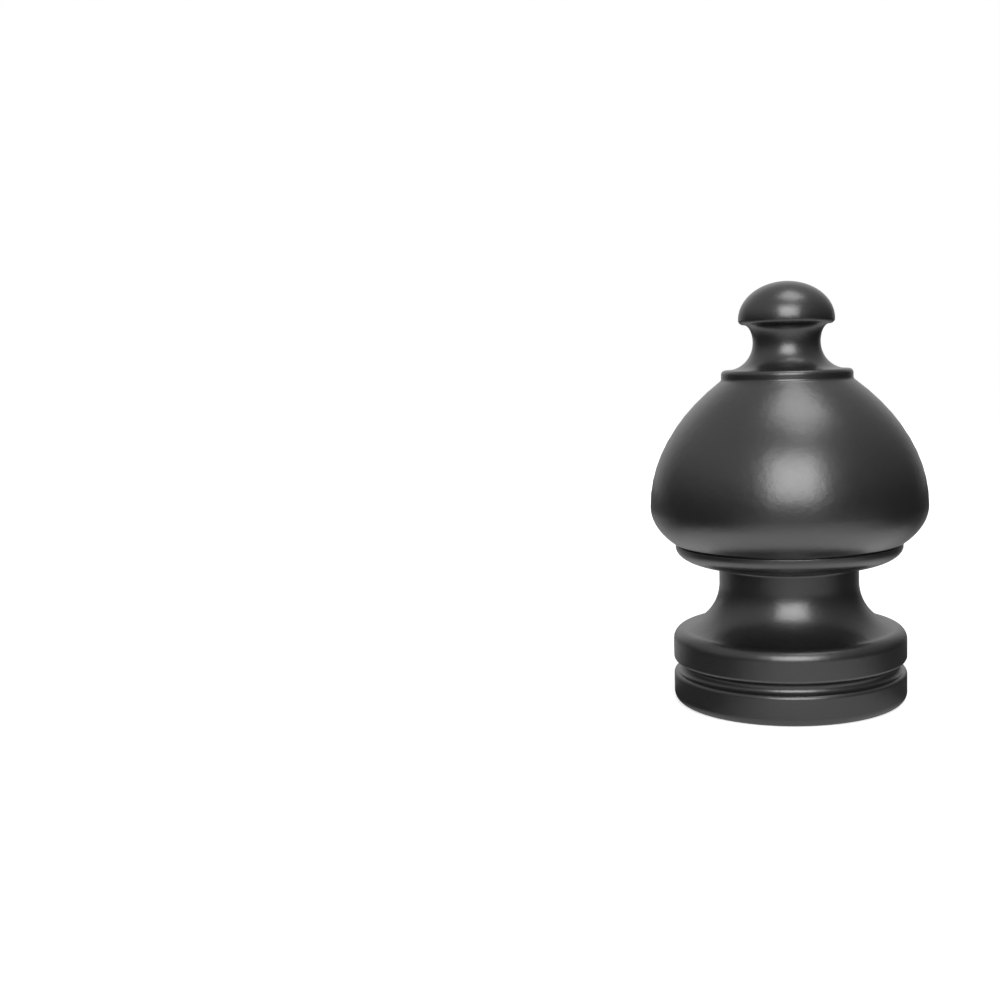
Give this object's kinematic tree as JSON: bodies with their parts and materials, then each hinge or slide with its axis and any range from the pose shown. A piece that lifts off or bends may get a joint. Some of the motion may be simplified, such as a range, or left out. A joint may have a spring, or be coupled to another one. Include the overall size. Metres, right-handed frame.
{
  "type": "curtain pole finial",
  "caption": "Urn-shaped curtain pole finial, turned in one piece, with a banded collar that has a socket for the pole's end and a grub screw behind.",
  "frame": {"origin": "centre of the collar's open face, which the finial stands on", "axes": "+Z along the axis from the open face to the cap, +Y towards the grub screw, at the back of the picture's view"},
  "size_m": [0.0494, 0.0494, 0.075],
  "materials": {
    "coated_metal": "satin black powder coat over turned aluminium",
    "blackened_steel": "black oxide"
  },
  "bodies": {
    "root": {"finial_body": "coated_metal", "grub_screw": "blackened_steel"}
  },
  "joints": []
}
